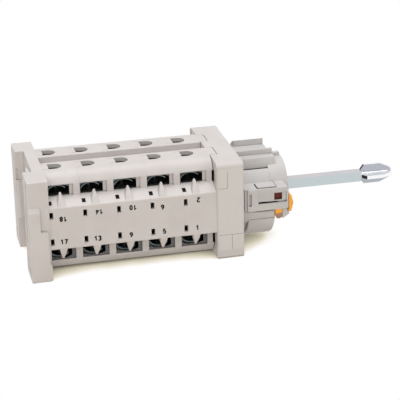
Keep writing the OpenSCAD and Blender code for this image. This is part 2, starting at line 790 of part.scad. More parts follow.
module bridge(index, front) {
    x0 = stage_x(index);
    color(brass) at_side(front) {
        translate([x0 + contact_x - bridge_w / 2, bridge_y, -bridge_half_h])
            cube([bridge_w, bridge_t, 2 * bridge_half_h]);
        for (s = [-1, 1]) translate([x0 + contact_x, bridge_tip_y, s * tip_z]) rotate([-90, 0, 0])
            cylinder(r = tip_r, h = tip_t + eps);
    }
}

module contact_spring(index, front) {
    x0 = stage_x(index);
    color(spring_steel) at_side(front) translate([x0 + contact_x, carrier_outer_y, 0]) rotate([-90, 0, 0])
        coil(spring_r, spring_wire, spring_outer_y - carrier_outer_y, 5);
}

rear_base();
rail_clip();
clip_spring();
front_plate();
latch_housing();
front_ring();
tie_rods();
tie_nuts();
fixed_contacts();
terminal_clamps();
terminal_screws();
terminal_inserts();
shaft();
coupling_tip();
detent_wheel();
detent_rollers();
detent_springs();
circlip();
release_latch();
latch_spring();
for (i = [1 : stage_count]) {
    housing(i);
    cam(i);
    for (front = [true, false]) {
        side = front ? "_front" : "_rear";
        carrier(i, front);
        bridge(i, front);
        contact_spring(i, front);
    }
}
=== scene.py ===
"""Looks of a rotary switch disconnector: finishes, printed marks, studio and camera round its solids."""

import logging
import math
from collections.abc import Sequence
from dataclasses import dataclass, field
from enum import Enum

import bpy
from mathutils import Euler, Matrix, Vector


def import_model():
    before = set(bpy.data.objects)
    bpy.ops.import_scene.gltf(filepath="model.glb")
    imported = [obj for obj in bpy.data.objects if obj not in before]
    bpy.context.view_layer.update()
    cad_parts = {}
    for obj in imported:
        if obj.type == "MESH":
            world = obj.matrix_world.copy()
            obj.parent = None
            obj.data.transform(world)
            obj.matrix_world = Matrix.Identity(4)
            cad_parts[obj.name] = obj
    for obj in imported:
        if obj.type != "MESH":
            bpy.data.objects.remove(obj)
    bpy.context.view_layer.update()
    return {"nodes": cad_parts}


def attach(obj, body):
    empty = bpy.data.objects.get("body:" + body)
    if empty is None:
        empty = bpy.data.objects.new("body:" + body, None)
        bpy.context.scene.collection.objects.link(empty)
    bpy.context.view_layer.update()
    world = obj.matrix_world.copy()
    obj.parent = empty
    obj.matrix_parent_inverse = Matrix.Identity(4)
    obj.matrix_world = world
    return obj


LOG = logging.getLogger("disconnector")
STAGES = 5
DIGIT_WIDTH = 0.6
DIGIT_MARGIN = 0.08

Colour = tuple[float, float, float, float]
Point = tuple[float, float, float]
Flat = tuple[float, float]
Socket = bpy.types.NodeSocket
Tree = bpy.types.NodeTree


class Side(Enum):
    """The two faces of the stack that carry terminals, by the direction that they face along Y."""

    FRONT = -1
    REAR = 1


def mm(value: float) -> float:
    """Millimetres as Blender's metres."""
    return value / 1000


def linear(code: str) -> Colour:
    """Turns an sRGB colour into the linear values that the shaders take.

    Args:
        code: The colour as a hex code, such as "#c8c4bf".

    Returns:
        Red, green, blue and an alpha of 1.
    """
    parts = [int(code[i:i + 2], 16) / 255 for i in (1, 3, 5)]
    red, green, blue = (p / 12.92 if p <= 0.04045 else ((p + 0.055) / 1.055) ** 2.4 for p in parts)
    return red, green, blue, 1.0


def add(
    tree: Tree,
    kind: str,
    values: dict[str | int, object] | None = None,
    links: dict[str | int, Socket] | None = None,
    **settings: object,
) -> bpy.types.Node:
    """Adds one node to a node tree.

    Args:
        tree: The tree.
        kind: Blender's type name of the node.
        values: Constants for its input sockets, by name or number.
        links: Output sockets to link to its inputs, by name or number.
        **settings: Properties of the node itself.

    Returns:
        The new node.
    """
    node = tree.nodes.new(kind)
    for name, value in settings.items():
        setattr(node, name, value)
    for name, value in (values or {}).items():
        node.inputs[name].default_value = value
    for name, socket in (links or {}).items():
        tree.links.new(socket, node.inputs[name])
    return node


def blank_material(name: str) -> tuple[bpy.types.Material, Tree, Socket]:
    """Makes a material with nothing in it but its output.

    Args:
        name: The material's name.

    Returns:
        The material, its node tree and the surface socket of its output.
    """
    material = bpy.data.materials.new(name)
    material.use_nodes = True
    tree = material.node_tree
    tree.nodes.clear()
    output = add(tree, "ShaderNodeOutputMaterial")
    return material, tree, output.inputs["Surface"]


@dataclass(frozen=True)
class MouldedPlastic:
    """Glass-filled polyamide or acetal, injection moulded in a spark-eroded tool.

    The tool leaves a fine even grain that breaks up the highlight. Its real grit is about 0.05 mm, which a
    frame of this size can't show, so it is drawn at grain_mm. Flow in the mould gives faint cloudy changes of
    tone. Painted shade darkens the colour in narrow seams and corners between mouldings, where another
    surface lies within crevice_mm, down to crevice_tone. The highlight is as strong as sheen says, 0.5 for
    what the plastic's IOR gives, and coat adds the gloss of a polished tool.
    """

    name: str
    colour: str
    cloud_colour: str
    roughness: float = 0.48
    grain_mm: float = 0.45
    grain_height_mm: float = 0.012
    cloud_mm: float = 16.0
    coat: float = 0.0
    crevice_mm: float = 1.3
    crevice_tone: float = 0.12
    sheen: float = 0.5

    def material(self) -> bpy.types.Material:
        """Builds the finish.

        Returns:
            A new material.
        """
        material, tree, surface = blank_material(self.name)
        point = add(tree, "ShaderNodeTexCoord").outputs["Object"]
        cloud = add(
            tree, "ShaderNodeTexNoise", {"Scale": 1 / mm(self.cloud_mm), "Detail": 3.0}, {"Vector": point}
        )
        grain = add(
            tree, "ShaderNodeTexNoise", {"Scale": 1 / mm(self.grain_mm), "Detail": 2.0}, {"Vector": point}
        )
        tone = add(tree, "ShaderNodeValToRGB", {}, {"Fac": cloud.outputs[0]})
        tone.color_ramp.elements[0].position = 0.3
        tone.color_ramp.elements[0].color = linear(self.colour)
        tone.color_ramp.elements[1].position = 0.7
        tone.color_ramp.elements[1].color = linear(self.cloud_colour)
        # Painted shade: occlusion within crevice_mm darkens the colour in seams and corners
        openness = add(tree, "ShaderNodeAmbientOcclusion", {"Distance": mm(self.crevice_mm)}, samples=6)
        crevice_shade = add(
            tree,
            "ShaderNodeMapRange",
            {"From Min": 0.05, "From Max": 0.72, "To Min": self.crevice_tone, "To Max": 1.0},
            {"Value": openness.outputs["AO"]},
        )
        shaded_tone = add(
            tree, "ShaderNodeVectorMath", {}, {0: tone.outputs[0], 1: crevice_shade.outputs[0]}, operation="MULTIPLY"
        )
        gloss = add(
            tree,
            "ShaderNodeMapRange",
            {
                "From Min": 0.3,
                "From Max": 0.7,
                "To Min": self.roughness - 0.05,
                "To Max": self.roughness + 0.07,
            },
            {"Value": grain.outputs[0]},
        )
        relief = add(
            tree,
            "ShaderNodeBump",
            {"Strength": 0.6, "Distance": mm(self.grain_height_mm)},
            {"Height": grain.outputs[0]},
        )
        shader = add(
            tree,
            "ShaderNodeBsdfPrincipled",
            {"Specular IOR Level": self.sheen, "IOR": 1.53, "Coat Weight": self.coat, "Coat Roughness": 0.12},
            {"Base Color": shaded_tone.outputs[0], "Roughness": gloss.outputs[0], "Normal": relief.outputs[0]},
        )
        tree.links.new(shader.outputs[0], surface)
        return material


@dataclass(frozen=True)
class PlatedMetal:
    """Steel, brass or a die casting under a thin plating or passivation, or bare spring wire.

    Drawing or rolling leaves fine scratches along the piece, and the plating's tone changes slowly over it.
    The real scratches are a few hundredths of a millimetre apart and are drawn at scratch_mm, so that they
    show. Faces that face along Y can take another colour, painted light that sets the sides apart from the
    top. Faces that face the stack, along -X, can take a dark colour, painted shade. Within edge_mm of the
    axis in height, a bright colour paints a highlight on the edges of a blade that lies across.
    """

    name: str
    colour: str
    cloud_colour: str
    roughness: float
    scratch_mm: float = 0.35
    scratch_height_mm: float = 0.006
    stretch: float = 24.0
    cloud_mm: float = 7.0
    side_colour: str = ""
    end_colour: str = ""
    edge_colour: str = ""
    edge_mm: float = 1.1

    def material(self) -> bpy.types.Material:
        """Builds the finish.

        Returns:
            A new material.
        """
        material, tree, surface = blank_material(self.name)
        point = add(tree, "ShaderNodeTexCoord").outputs["Object"]
        drawn = add(tree, "ShaderNodeMapping", {"Scale": (1 / self.stretch, 1, 1)}, {"Vector": point})
        scratch = add(
            tree,
            "ShaderNodeTexNoise",
            {"Scale": 1 / mm(self.scratch_mm), "Detail": 2.0},
            {"Vector": drawn.outputs[0]},
        )
        cloud = add(
            tree, "ShaderNodeTexNoise", {"Scale": 1 / mm(self.cloud_mm), "Detail": 3.0}, {"Vector": point}
        )
        tone = add(tree, "ShaderNodeValToRGB", {}, {"Fac": cloud.outputs[0]})
        tone.color_ramp.elements[0].position = 0.35
        tone.color_ramp.elements[0].color = linear(self.colour)
        tone.color_ramp.elements[1].position = 0.65
        tone.color_ramp.elements[1].color = linear(self.cloud_colour)
        colour = tone.outputs[0]
        # Painted light: tones by which way a face faces, and a highlight near the axis
        if self.side_colour:
            colour = self.tinted(tree, colour, (0, 1, 0), self.side_colour)
            colour = self.tinted(tree, colour, (0, -1, 0), self.side_colour)
        if self.edge_colour:
            colour = self.edged(tree, colour, point)
        if self.end_colour:
            colour = self.tinted(tree, colour, (-1, 0, 0), self.end_colour)
        gloss = add(
            tree,
            "ShaderNodeMapRange",
            {
                "From Min": 0.3,
                "From Max": 0.7,
                "To Min": self.roughness - 0.05,
                "To Max": self.roughness + 0.08,
            },
            {"Value": scratch.outputs[0]},
        )
        relief = add(
            tree,
            "ShaderNodeBump",
            {"Strength": 0.5, "Distance": mm(self.scratch_height_mm)},
            {"Height": scratch.outputs[0]},
        )
        shader = add(
            tree,
            "ShaderNodeBsdfPrincipled",
            {"Metallic": 1.0},
            {"Base Color": colour, "Roughness": gloss.outputs[0], "Normal": relief.outputs[0]},
        )
        tree.links.new(shader.outputs[0], surface)
        return material

    def edged(self, tree: Tree, colour: Socket, point: Socket) -> Socket:
        """Paints a highlight: blends the bright edge colour over what lies near the axis in height.

        Args:
            tree: The node tree.
            colour: The colour so far.
            point: The place in the piece's own axes.

        Returns:
            The blended colour.
        """
        height = add(tree, "ShaderNodeSeparateXYZ", {}, {"Vector": point}).outputs["Z"]
        off_axis = add(tree, "ShaderNodeMath", {}, {0: height}, operation="ABSOLUTE").outputs[0]
        within = add(tree, "ShaderNodeMath", {1: mm(self.edge_mm)}, {0: off_axis}, operation="LESS_THAN")
        blend = add(
            tree,
            "ShaderNodeMix",
            {7: linear(self.edge_colour)},
            {0: within.outputs[0], 6: colour},
            data_type="RGBA",
        )
        return blend.outputs[2]

    def tinted(self, tree: Tree, colour: Socket, way: Point, tint: str) -> Socket:
        """Paints a tone by facing, standing in for light and shade: blends a tint over the faces that face
        one way.

        Args:
            tree: The node tree.
            colour: The colour so far.
            way: The direction, a unit vector.
            tint: The tint as a hex code.

        Returns:
            The blended colour.
        """
        facing = add(tree, "ShaderNodeTexCoord").outputs["Normal"]
        along = add(tree, "ShaderNodeVectorMath", {1: way}, {0: facing}, operation="DOT_PRODUCT")
        share = add(
            tree, "ShaderNodeMapRange", {"From Min": 0.4, "From Max": 0.75}, {"Value": along.outputs["Value"]}
        )
        blend = add(
            tree,
            "ShaderNodeMix",
            {7: linear(tint)},
            {0: share.outputs[0], 6: colour},
            data_type="RGBA",
        )
        return blend.outputs[2]


@dataclass(frozen=True)
class PrintedInk:
    """Pad-printed ink or label film: a thin flat layer, slightly uneven where it lies on the grain."""

    name: str
    colour: str
    worn_colour: str
    roughness: float = 0.55
    speck_mm: float = 0.6

    def material(self) -> bpy.types.Material:
        """Builds the finish.

        Returns:
            A new material.
        """
        material, tree, surface = blank_material(self.name)
        point = add(tree, "ShaderNodeTexCoord").outputs["Object"]
        speck = add(
            tree, "ShaderNodeTexNoise", {"Scale": 1 / mm(self.speck_mm), "Detail": 2.0}, {"Vector": point}
        )
        tone = add(tree, "ShaderNodeValToRGB", {}, {"Fac": speck.outputs[0]})
        tone.color_ramp.elements[0].position = 0.35
        tone.color_ramp.elements[0].color = linear(self.colour)
        tone.color_ramp.elements[1].position = 0.65
        tone.color_ramp.elements[1].color = linear(self.worn_colour)
        shader = add(
            tree,
            "ShaderNodeBsdfPrincipled",
            {"Roughness": self.roughness, "IOR": 1.5, "Specular IOR Level": 0.25},
            {"Base Color": tone.outputs[0]},
        )
        tree.links.new(shader.outputs[0], surface)
        return material


class Finish(Enum):
    """Every finish on the object, each named for the real material."""

    # The warm light grey of the stages, the base and the front plate, with a dull even grain
    GREY_POLYAMIDE = MouldedPlastic("grey_polyamide_moulded", "#cdc8c5", "#c7c1bd")
    # A shade cooler and darker, which sets the drum and its ring apart from the stack
    ASH_POLYAMIDE = MouldedPlastic("ash_grey_polyamide_moulded", "#c6c3c1", "#bfbcba")
    # Dark grey, a step between the pale shell and the black behind its windows; also the painted shade plates
    # in the window recesses
    INNER_POLYAMIDE = MouldedPlastic("dark_grey_polyamide_moulded", "#6a6c70", "#5f6165")
    # The near black walls of the terminal chambers, which still catch a weak highlight
    BLACK_POLYAMIDE = MouldedPlastic("black_polyamide_moulded", "#141414", "#1b1b1c", roughness=0.5)
    # Black with almost no highlight, for the plugs and strips that are painted shade in holes and gaps
    RECESSED_POLYAMIDE = MouldedPlastic("painted_gap_shade_black", "#0c0c0c", "#111111", sheen=0.05)
    # Creamy white and smoother than the shell, for the cams and the detent wheel
    WHITE_ACETAL = MouldedPlastic(
        "white_acetal_moulded", "#e2dfd5", "#dad6ca", roughness=0.35, grain_height_mm=0.005
    )
    # The one bright colour, with the slight gloss of a polished tool
    ORANGE_ACETAL = MouldedPlastic(
        "orange_acetal_moulded", "#f9b03a", "#f3a430", roughness=0.34, grain_height_mm=0.005, coat=0.15
    )
    # A grey drawn bar, with painted reflection tints: faintly pink on top and bluish on its sides
    ZINC_PLATED_BAR = PlatedMetal(
        "zinc_plated_cold_drawn_steel", "#c7c3c8", "#c1bec2", roughness=0.38, side_colour="#c6cfd1"
    )
    # Bright tip, with a painted highlight on its edges, painted shade in cooler grey on its flats and dark
    # painted shade on its ends that face the stack
    NICKEL_PLATED_CASTING = PlatedMetal(
        "nickel_plated_die_casting",
        "#f3f1f4",
        "#e9e8ec",
        roughness=0.3,
        scratch_height_mm=0.002,
        side_colour="#b4b8bf",
        end_colour="#35363a",
        edge_colour="#fbfafc",
    )
    # Dark grey screw heads and circlip, with a metal's sharper highlight
    BLACKENED_STEEL = PlatedMetal("blackened_steel", "#565b58", "#3d423f", roughness=0.32)
    # The thin grey glints behind the wire windows
    CLAMP_STEEL = PlatedMetal("zinc_plated_pressed_steel", "#8c9696", "#707b7a", roughness=0.3)
    # Dull brown: painted shade on the latch's lower end, which lies in shadow
    HANDLED_ACETAL = MouldedPlastic(
        "painted_shade_brown", "#b08c74", "#9a7862", roughness=0.45, cloud_mm=3.0
    )
    # Dark red, almost without a highlight: painted shade for the latch seen in shadow behind the window
    SMOKED_ACETAL = MouldedPlastic(
        "painted_shade_dark_red", "#6a2c1e", "#40190f", roughness=0.3, cloud_mm=2.5, sheen=0.15
    )
    # Grey contacts with a trace of yellow
    TINNED_BRASS = PlatedMetal("tin_plated_brass", "#8e9088", "#777a72", roughness=0.34)
    # Plain grey wire and rollers, a little bluish
    SPRING_WIRE = PlatedMetal("drawn_spring_wire", "#a4a8ac", "#8d9195", roughness=0.3)
    # Terminal numbers, a flat black that stays matt
    BLACK_INK = PrintedInk("black_pad_printing", "#090909", "#141413")
    # Hairlines that only just show on the film
    GREY_INK = PrintedInk("grey_pad_printing", "#77736f", "#8a8682")
    # Film a touch paler and smoother than the plastic under it
    LABEL_FILM = PrintedInk("pale_label_film", "#d2cecb", "#cdc9c6", roughness=0.4)


@dataclass
class Palette:
    """Builds each finish once, when a piece first asks for it."""

    made: dict[Finish, bpy.types.Material] = field(default_factory=dict)

    def get(self, finish: Finish) -> bpy.types.Material:
        """Gives the material of a finish.

        Args:
            finish: The finish.

        Returns:
            Its material.
        """
        if finish not in self.made:
            self.made[finish] = finish.value.material()
        return self.made[finish]


@dataclass
class SolidDresser:
    """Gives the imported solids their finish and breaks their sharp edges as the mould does."""

    nodes: dict[str, bpy.types.Object]
    palette: Palette
    sharp_deg: float = 32.0
    weld_mm: float = 0.002
    flat_deg: float = 0.05

    def dress(self, node: str, finish: Finish, edge_mm: float = 0.2) -> None:
        """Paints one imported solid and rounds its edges.

        Args:
            node: The solid's name.
            finish: What it is made of.
            edge_mm: Width of the rounding, 0 for none.
        """
        solid = self.nodes[node]
        solid.data.materials.clear()
        solid.data.materials.append(self.palette.get(finish))
        weld = solid.modifiers.new("weld", "WELD")
        weld.merge_threshold = mm(self.weld_mm)
        if edge_mm:
            flats = solid.modifiers.new("merge_flats", "DECIMATE")
            flats.decimate_type = "DISSOLVE"
            flats.angle_limit = math.radians(self.flat_deg)
            bevel = solid.modifiers.new("moulded_edge", "BEVEL")
            bevel.width = mm(edge_mm)
            bevel.segments = 2
            bevel.limit_method = "ANGLE"
            bevel.angle_limit = math.radians(self.sharp_deg)
            bevel.use_clamp_overlap = True
        smooth = solid.modifiers.new("smooth_by_angle", "NODES")
        smooth.node_group = self.smooth_by_angle()
        if edge_mm:
            weighted = solid.modifiers.new("even_flats", "WEIGHTED_NORMAL")
            weighted.keep_sharp = True
        LOG.info("dressed %s in %s", node, finish.value.name)

    def smooth_by_angle(self) -> bpy.types.NodeTree:
        """Makes the geometry group that keeps an edge sharp where its faces turn by more than sharp_deg.

        Returns:
            The node group, made once.
        """
        name = "smooth_by_angle"
        if name in bpy.data.node_groups:
            return bpy.data.node_groups[name]
        tree = bpy.data.node_groups.new(name, "GeometryNodeTree")
        tree.interface.new_socket("Geometry", in_out="INPUT", socket_type="NodeSocketGeometry")
        tree.interface.new_socket("Geometry", in_out="OUTPUT", socket_type="NodeSocketGeometry")
        source = add(tree, "NodeGroupInput")
        faces = add(
            tree, "GeometryNodeSetShadeSmooth", {"Shade Smooth": True}, {0: source.outputs[0]}, domain="FACE"
        )
        angle = add(tree, "GeometryNodeInputMeshEdgeAngle")
        gentle = add(
            tree,
            "FunctionNodeCompare",
            {1: math.radians(self.sharp_deg)},
            {0: angle.outputs[0]},
            operation="LESS_EQUAL",
        )
        edges = add(
            tree,
            "GeometryNodeSetShadeSmooth",
            {},
            {"Geometry": faces.outputs[0], "Shade Smooth": gentle.outputs[0]},
            domain="EDGE",
        )
        add(tree, "NodeGroupOutput", {}, {0: edges.outputs[0]})
        return tree


def arc(centre: Flat, radii: Flat, start_deg: float, end_deg: float, steps: int = 10) -> list[Flat]:
    """Points along a part of an ellipse.

    Args:
        centre: Its centre.
        radii: Its radii across and up.
        start_deg: Angle of the first point, counterclockwise from the right.
        end_deg: Angle of the last point.
        steps: How many pieces the line has.

    Returns:
        The points.
    """
    angles = [math.radians(start_deg + (end_deg - start_deg) * i / steps) for i in range(steps + 1)]
    return [(centre[0] + radii[0] * math.cos(a), centre[1] + radii[1] * math.sin(a)) for a in angles]


def digit_lines(digit: str) -> list[Flat]:
    """Centre line of a plain digit, in a box that is DIGIT_WIDTH wide and 1 high.

    Args:
        digit: The digit.

    Returns:
        The points of its one stroke.
    """
    if digit == "9":
        return [(DIGIT_WIDTH - x, 1 - y) for x, y in digit_lines("6")]
    strokes = {
        "0": arc((0.3, 0.5), (0.21, 0.42), 90, 450, 20),
        "1": [(0.1, 0.7), (0.36, 0.92), (0.36, 0.08)],
        "2": arc((0.3, 0.69), (0.22, 0.23), 170, -40) + [(0.08, 0.08), (0.54, 0.08)],
        "3": arc((0.27, 0.71), (0.23, 0.21), 150, -90) + arc((0.27, 0.29), (0.25, 0.21), 90, -150),
        "4": [(0.56, 0.31), (0.06, 0.31), (0.42, 0.92), (0.42, 0.08)],
        "5": [(0.5, 0.92), (0.15, 0.92), (0.1, 0.5)] + arc((0.29, 0.34), (0.23, 0.26), 130, -150),
        "6": arc((0.5, 0.34), (0.42, 0.58), 95, 175, 6) + arc((0.3, 0.3), (0.22, 0.22), 180, 540, 16),
        "7": [(0.06, 0.92), (0.54, 0.92), (0.24, 0.08)],
        "8": arc((0.3, 0.71), (0.18, 0.21), 270, 630, 16) + arc((0.3, 0.29), (0.22, 0.21), 90, 450, 16),
    }
    return strokes[digit]


def ribbon(line: list[Flat], width: float) -> list[tuple[Flat, Flat]]:
    """Widens a line to a ribbon with mitred corners.

    Args:
        line: Its points.
        width: The ribbon's width.

    Returns:
        The left and right edge points beside each point of the line.
    """
    turns_back = 0.1
    mitre_limit = 0.55
    points = [Vector(p) for p in line]
    edges = []
    for i, point in enumerate(points):
        before = (point - points[i - 1]).normalized() if i else (points[1] - point).normalized()
        after = (points[i + 1] - point).normalized() if i + 1 < len(points) else before
        across = Vector((-(before + after).y, (before + after).x))
        across = across.normalized() if across.length > turns_back else Vector((-before.y, before.x))
        reach = width / 2 / max(mitre_limit, abs(across.dot(Vector((-before.y, before.x)))))
        edges.append((tuple(point + across * reach), tuple(point - across * reach)))
    return edges


def number_mesh(name: str, text: str, height_mm: float) -> bpy.types.Mesh:
    """Makes one printed number in bold strokes, centred on the origin in the XY plane and facing +Z.

    Args:
        name: Name of the mesh.
        text: The digits.
        height_mm: Height of the digits.

    Returns:
        The mesh, 0.03 mm thick.
    """
    stroke = 0.27
    advance = 0.78
    half_thick = mm(0.015)
    scale = mm(height_mm) / (1 - 2 * DIGIT_MARGIN + stroke)
    shift = (DIGIT_WIDTH + advance * (len(text) - 1)) / 2
    points: list[Point] = []
    faces: list[list[int]] = []
    for place, digit in enumerate(text):
        edges = ribbon(digit_lines(digit), stroke)
        start = len(points)
        for pair in edges:
            for x, y in pair:
                flat = ((x + advance * place - shift) * scale, (y - 0.5) * scale)
                points += [(*flat, half_thick), (*flat, -half_thick)]
        for i in range(start, len(points) - 4, 4):
            left, left_low, right, right_low = i, i + 1, i + 2, i + 3
            faces += [
                [left, right, right + 4, left + 4],
                [left_low, left_low + 4, right_low + 4, right_low],
                [left, left + 4, left_low + 4, left_low],
                [right, right_low, right_low + 4, right + 4],
            ]
        end = len(points) - 4
        faces += [[start, start + 1, start + 3, start + 2], [end, end + 2, end + 3, end + 1]]
    mesh = bpy.data.meshes.new(name)
    mesh.from_pydata(points, [], faces)
    return mesh


def prism_mesh(
    name: str, outline: Sequence[Flat], first: float, last: float, along_x: bool = False
) -> bpy.types.Mesh:
    """Makes a closed prism along Y, or along X.

    Args:
        name: Name of the mesh.
        outline: Corners in mm, X and Z for a prism along Y or Y and Z for one along X, counterclockwise as
            seen on the first face.
        first: Place of its first face in mm, the low end along Y or the high end along X.
        last: Place of its other face in mm.
        along_x: Whether it runs along X.

    Returns:
        The mesh, in metres.
    """
    count = len(outline)
    if along_x:
        points = [(mm(x), mm(y), mm(z)) for x in (first, last) for y, z in outline]
    else:
        points = [(mm(x), mm(y), mm(z)) for y in (first, last) for x, z in outline]
    faces = [list(range(count)), list(range(2 * count - 1, count - 1, -1))]
    faces += [[i, i + count, (i + 1) % count + count, (i + 1) % count] for i in range(count)]
    mesh = bpy.data.meshes.new(name)
    mesh.from_pydata(points, [], faces)
    return mesh


def box_mesh(name: str, low: Point, high: Point) -> bpy.types.Mesh:
    """Makes a closed block between two corners.

    Args:
        name: Name of the mesh.
        low: Its lowest corner in mm.
        high: Its highest corner in mm.

    Returns:
        The mesh, in metres.
    """
    (left, near, foot), (right, far, top) = low, high
    corners = [(mm(x), mm(y), mm(z)) for y in (near, far) for z in (foot, top) for x in (left, right)]
    faces = [(0, 1, 3, 2), (5, 4, 6, 7), (4, 0, 2, 6), (1, 5, 7, 3), (4, 5, 1, 0), (2, 3, 7, 6)]
    mesh = bpy.data.meshes.new(name)
    mesh.from_pydata(corners, [], faces)
    return mesh


def joined(name: str, meshes: list[bpy.types.Mesh], material: bpy.types.Material) -> bpy.types.Object:
    """Joins meshes into one object in the scene.

    Args:
        name: Name of the object.
        meshes: Meshes already in place, in the frame's metres. They are used up.
        material: Their finish.

    Returns:
        The object.
    """
    points: list[Point] = []
    faces: list[list[int]] = []
    for part in meshes:
        start = len(points)
        points += [tuple(v.co) for v in part.vertices]
        faces += [[start + i for i in p.vertices] for p in part.polygons]
        bpy.data.meshes.remove(part)
    mesh = bpy.data.meshes.new(name)
    mesh.from_pydata(points, [], faces)
    mesh.materials.append(material)
    result = bpy.data.objects.new(name, mesh)
    bpy.context.scene.collection.objects.link(result)
    return result


@dataclass
class RearBase:
    """The base on the mounting rail, with its sliding catch and the tie rods that end in it."""

    dresser: SolidDresser

    def dress(self) -> None:
        """Paints the base, the catch and what holds them."""
        self.dresser.dress("rear_base", Finish.GREY_POLYAMIDE, 0.35)
        self.dresser.dress("rail_clip", Finish.GREY_POLYAMIDE, 0.2)
        self.dresser.dress("clip_spring", Finish.SPRING_WIRE, 0)
        self.dresser.dress("tie_nuts", Finish.ZINC_PLATED_BAR, 0.1)
        self.dresser.dress("tie_rods", Finish.ZINC_PLATED_BAR, 0.1)


@dataclass
class ContactStack:
    """The five contact stages between the rear base and the front plate, with their printed numbers."""

    dresser: SolidDresser
    stack_x: float = 6.6
    pitch: float = 19.5
    face_y: float = 35.7
    digit_mm: float = 3.3
    digit_x: float = 7.6
    upper_z: float = 6.7
    lower_z: float = -8.3
    number_lift: float = 0.01
    upper_shift: tuple[Flat, ...] = ((0.2, -1.0), (1.5, 1.3), (1.6, 1.7), (-0.7, 0.0), (1.0, 2.2))
    # Black plugs under the snap holes, painted shade
    lug_outline: tuple[Flat, ...] = ((29.98, 9.6), (33.02, 9.6), (33.02, 13.66), (29.98, 14.91))
    lug_x: Flat = (0.07, 2.13)
    # Outline of the painted shade plates in each window's recess
    frame_arch: tuple[Flat, ...] = ((13.52, 21.5), (10.1, 22.6), (6.75, 22.9), (3.4, 22.6), (0.05, 21.5))
    frame_top: float = 23.05
    frame_foot: float = 16.4
    frame_right: float = 15.55
    frame_y: Flat = (25.26, 25.42)
    # Dark strips of painted shade in the gap at the stack's end
    gap_z: tuple[Flat, ...] = ((16.0, 22.8), (-22.2, -16.2))
    gap_x: Point = (103.35, 104.12, 104.7)
    gap_wall_y: Flat = (26.5, 26.73)
    gap_deep_y: Flat = (25.2, 26.6)
    rim_x: float = 6.6
    rim_z: float = 17.6
    rim_outer: Flat = (6.1, 4.4)
    rim_inner: Flat = (5.7, 4.0)
    rim_deg: Flat = (165, 35)
    rim_y: Flat = (22.9, 23.6)

    def dress(self) -> None:
        """Paints the shells, terminals and moving contacts of every stage."""
        for stage in range(1, STAGES + 1):
            self.dresser.dress(f"housing_{stage}", Finish.GREY_POLYAMIDE, 0.25)
            self.dresser.dress(f"cam_{stage}", Finish.WHITE_ACETAL, 0.15)
            for side in ("front", "rear"):
                self.dresser.dress(f"carrier_{stage}_{side}", Finish.INNER_POLYAMIDE, 0.15)
                self.dresser.dress(f"bridge_{stage}_{side}", Finish.TINNED_BRASS, 0.1)
                self.dresser.dress(f"spring_{stage}_{side}", Finish.SPRING_WIRE, 0)
        self.dresser.dress("fixed_contacts", Finish.TINNED_BRASS, 0.1)
        self.dresser.dress("terminal_clamps", Finish.CLAMP_STEEL, 0.1)
        self.dresser.dress("terminal_screws", Finish.BLACKENED_STEEL, 0.15)
        self.dresser.dress("terminal_inserts", Finish.BLACK_POLYAMIDE, 0)

    def numbers(self, side: Side) -> bpy.types.Object:
        """Prints the terminal numbers of one face; its upper row reads from the other way up.

        Args:
            side: The face.

        Returns:
            The numbers as one piece.
        """
        meshes = []
        lowest = 1 if side is Side.FRONT else 3
        about = math.radians(180) if side is Side.REAR else 0
        turn = Euler((math.radians(90), 0, about)).to_matrix().to_4x4()
        upside_down = Matrix.Rotation(math.pi, 4, "Y") @ turn
        for stage in range(1, STAGES + 1):
            first = lowest + 4 * (STAGES - stage)
            x = self.stack_x + (stage - 1) * self.pitch + self.digit_x
            across, up = self.upper_shift[stage - 1]
            lower = (first, x, self.lower_z, turn)
            upper = (first + 1, x + across, self.upper_z + up, upside_down)
            for number, digit_x, digit_z, way in (lower, upper):
                mesh = number_mesh(f"number_{number}", str(number), self.digit_mm)
                place = Vector((mm(digit_x), side.value * mm(self.face_y + self.number_lift), mm(digit_z)))
                mesh.transform(Matrix.Translation(place) @ way)
                meshes.append(mesh)
        name = f"terminal_numbers_{side.name.lower()}"
        piece = joined(name, meshes, self.dresser.palette.get(Finish.BLACK_INK))
        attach(piece, "stack")
        LOG.info("printed %s", name)
        return piece

    def lugs(self) -> bpy.types.Object:
        """Puts black plugs just under the snap holes in the sloped shoulders: painted shade that makes the
        holes look deep and dark.

        Returns:
            The plugs as one piece.
        """
        meshes = []
        near, far = self.lug_x
        for stage in range(STAGES):
            x = self.stack_x + stage * self.pitch
            for side in Side:
                for up in (1, -1):
                    outline = [(side.value * y, up * z) for y, z in self.lug_outline]
                    if side.value * up < 0:
                        outline.reverse()
                    meshes.append(prism_mesh("lug", outline, x + far, x + near, along_x=True))
        piece = joined("snap_hole_painted_shade", meshes, self.dresser.palette.get(Finish.RECESSED_POLYAMIDE))
        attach(piece, "stack")
        LOG.info("placed the lugs behind the snap holes")
        return piece

    def insert_frames(self) -> bpy.types.Object:
        """Lays dark grey plates round the arched openings, in the recess of each wire window: painted shade
        for the shadow in the recess, with a wider plate beside the lower windows.

        Returns:
            The frames as one piece.
        """
        arch = self.frame_arch[::-1]
        top = self.frame_top
        upper = [(arch[0][0], top), *arch, (arch[-1][0], top)]
        lower_side_strip = [(arch[-1][0], self.frame_foot), (self.frame_right, self.frame_foot), (self.frame_right, top)]
        lower = [(arch[0][0], top), *arch, *lower_side_strip]
        meshes = []
        for stage in range(STAGES):
            x = self.stack_x + stage * self.pitch
            for side in Side:
                first, last = sorted(side.value * y for y in self.frame_y)
                for up, shape in ((1, upper), (-1, lower)):
                    outline = [(x + px, up * pz) for px, pz in shape]
                    if up < 0:
                        outline.reverse()
                    meshes.append(prism_mesh("frame", outline, first, last))
        piece = joined("insert_frames", meshes, self.dresser.palette.get(Finish.INNER_POLYAMIDE))
        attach(piece, "stack")
        # The plates laid here are painted shade in the window recesses
        LOG.info("laid the frames of the terminal inserts")
        return piece

